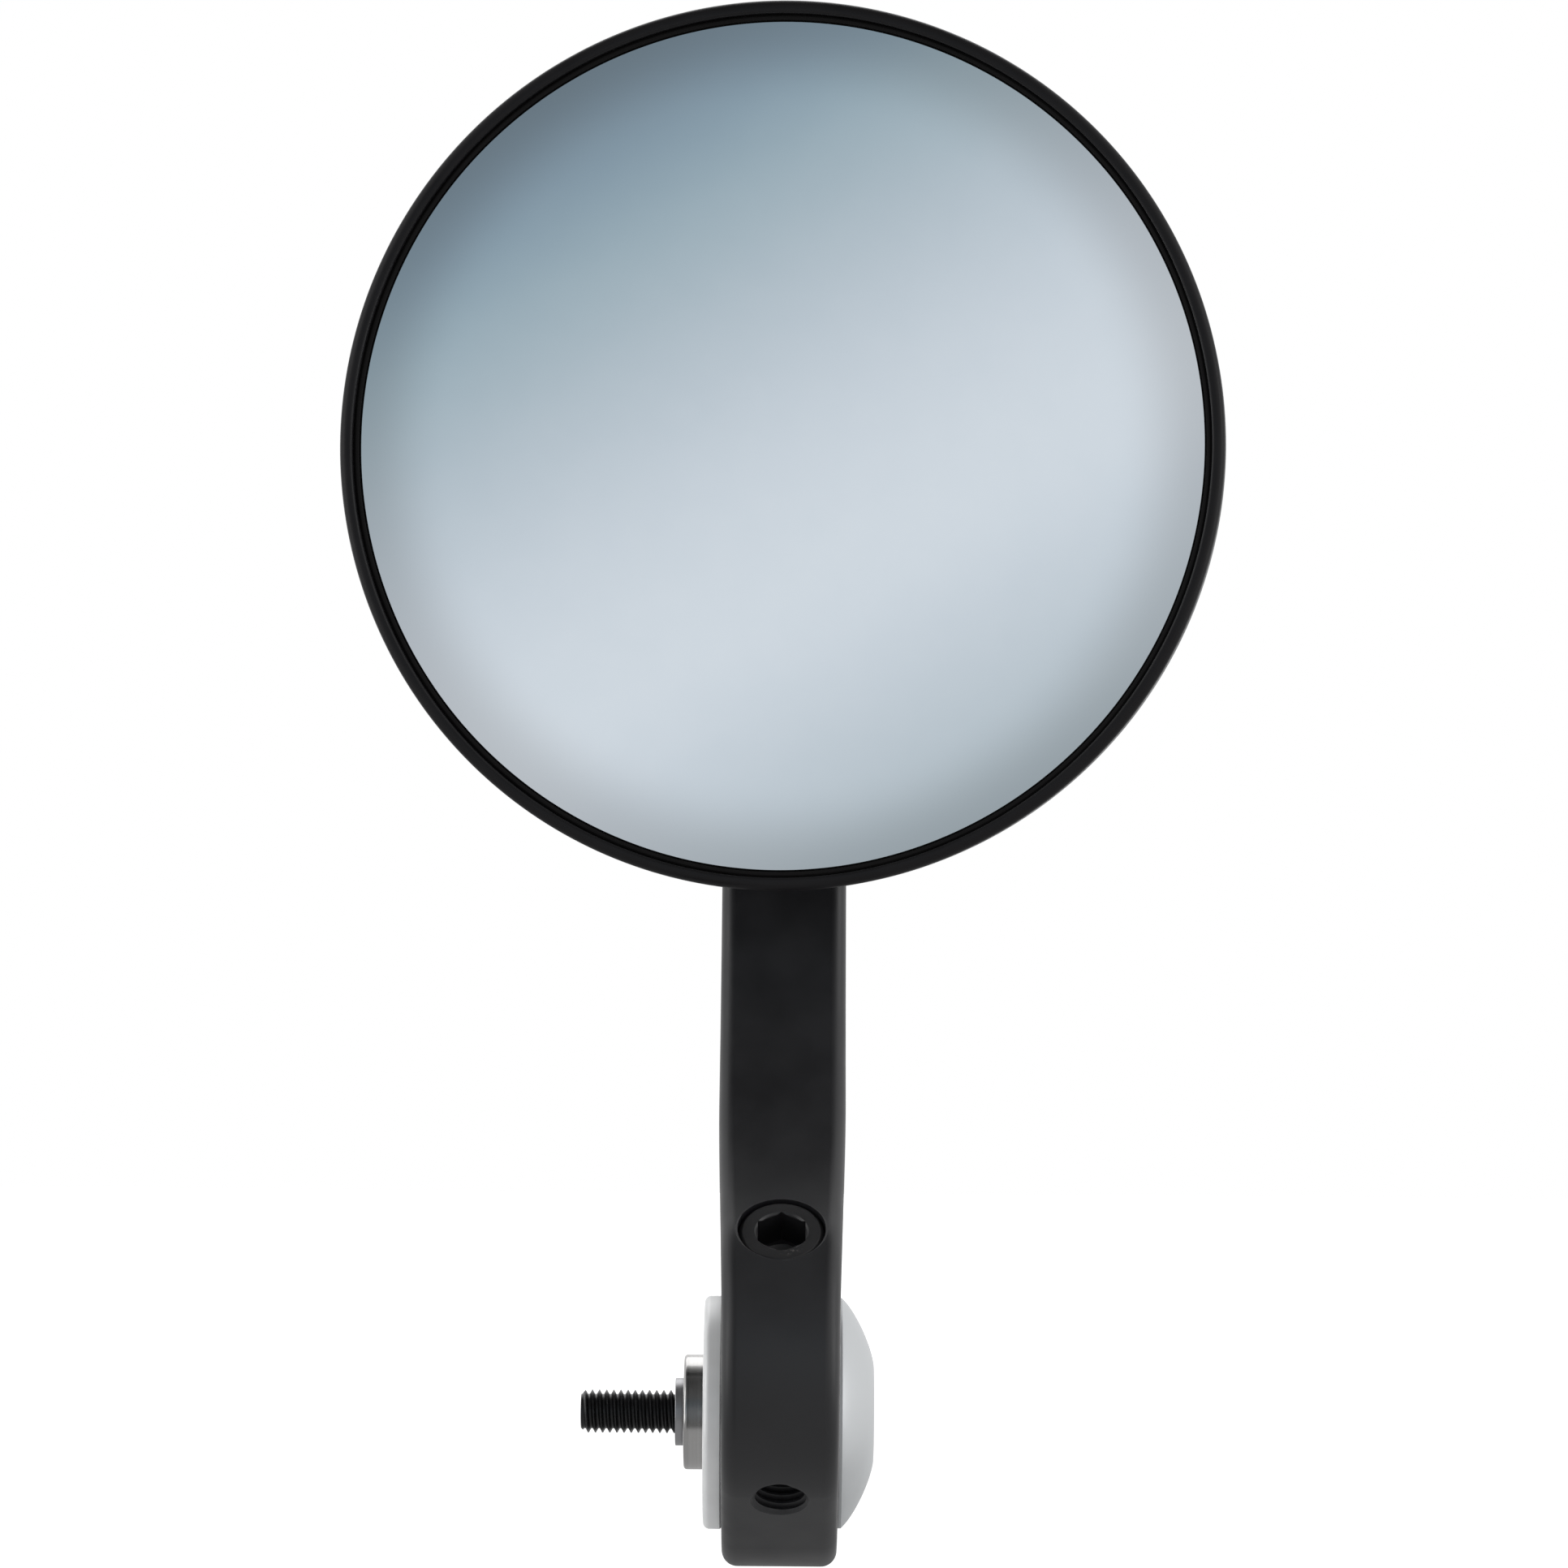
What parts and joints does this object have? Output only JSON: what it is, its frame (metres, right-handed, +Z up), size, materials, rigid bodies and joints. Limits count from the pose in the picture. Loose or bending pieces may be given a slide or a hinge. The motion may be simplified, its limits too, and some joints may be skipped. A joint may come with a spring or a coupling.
{
  "type": "motorcycle bar end mirror",
  "caption": "Round convex mirror on a curved black arm that turns on a hub at the end of a motorcycle handlebar, with a ball joint behind the head and a bolt into the bar.",
  "frame": {"origin": "on the handlebar's axis, where the spigot leaves the bar side face of the inner flange", "axes": "-X runs into the handlebar along the bolt, +Z runs up the arm to the mirror, and the glass looks towards -Y"},
  "size_m": [0.1222, 0.0603, 0.217],
  "materials": {
    "satin_black": "fine satin black coating on machined aluminium",
    "bright_aluminium": "satin, fine bead blast",
    "brushed_stainless": "turned and brushed",
    "washer_steel": "zinc plated",
    "black_oxide": "black oxide with a little oil",
    "brass": "turned",
    "nylon": "natural",
    "rubber": "matte",
    "black_plastic": "moulded",
    "foam": "closed cell foam",
    "mirror_glass": "silvered convex glass"
  },
  "bodies": {
    "bar_end": {"inner_flange": "bright_aluminium", "spigot": "brushed_stainless", "bolt_washer": "washer_steel", "bar_bolt": "black_oxide", "clamp_sleeve": "brushed_stainless", "outer_cap": "bright_aluminium", "inner_slip_washer": "nylon", "outer_slip_washer": "nylon"},
    "arm": {"arm": "satin_black", "lock_screw": "black_oxide", "lock_pad": "brass", "ball_stud": "brushed_stainless", "stud_screw": "black_oxide", "stud_washer": "washer_steel"},
    "tilt_ring": {"front_liner": "nylon"},
    "turn_ring": {"rear_liner": "nylon"},
    "head": {"mirror_housing": "satin_black", "dust_seal": "rubber", "clamp_plate": "washer_steel", "clamp_screws": "black_oxide", "spring_washers": "washer_steel", "glass_carrier": "black_plastic", "glass_pad": "foam", "mirror_glass": "mirror_glass", "glass_seal": "rubber"}
  },
  "joints": [
    {"name": "arm_swing", "type": "hinge", "parent": "bar_end", "child": "arm", "pos_m": [0, 0, 0], "axis": [1, 0, 0], "continuous": true},
    {"name": "head_tilt", "type": "hinge", "parent": "arm", "child": "tilt_ring", "pos_m": [0.01065, -0.001, 0.1345], "axis": [1, 0, 0], "range_deg": [-12, 12]},
    {"name": "head_turn", "type": "hinge", "parent": "tilt_ring", "child": "turn_ring", "pos_m": [0.01065, -0.001, 0.1345], "axis": [0, 0, 1], "range_deg": [-12, 15]},
    {"name": "head_spin", "type": "hinge", "parent": "turn_ring", "child": "head", "pos_m": [0.01065, -0.001, 0.1345], "axis": [-0.1045, -0.9945, 0], "continuous": true}
  ]
}
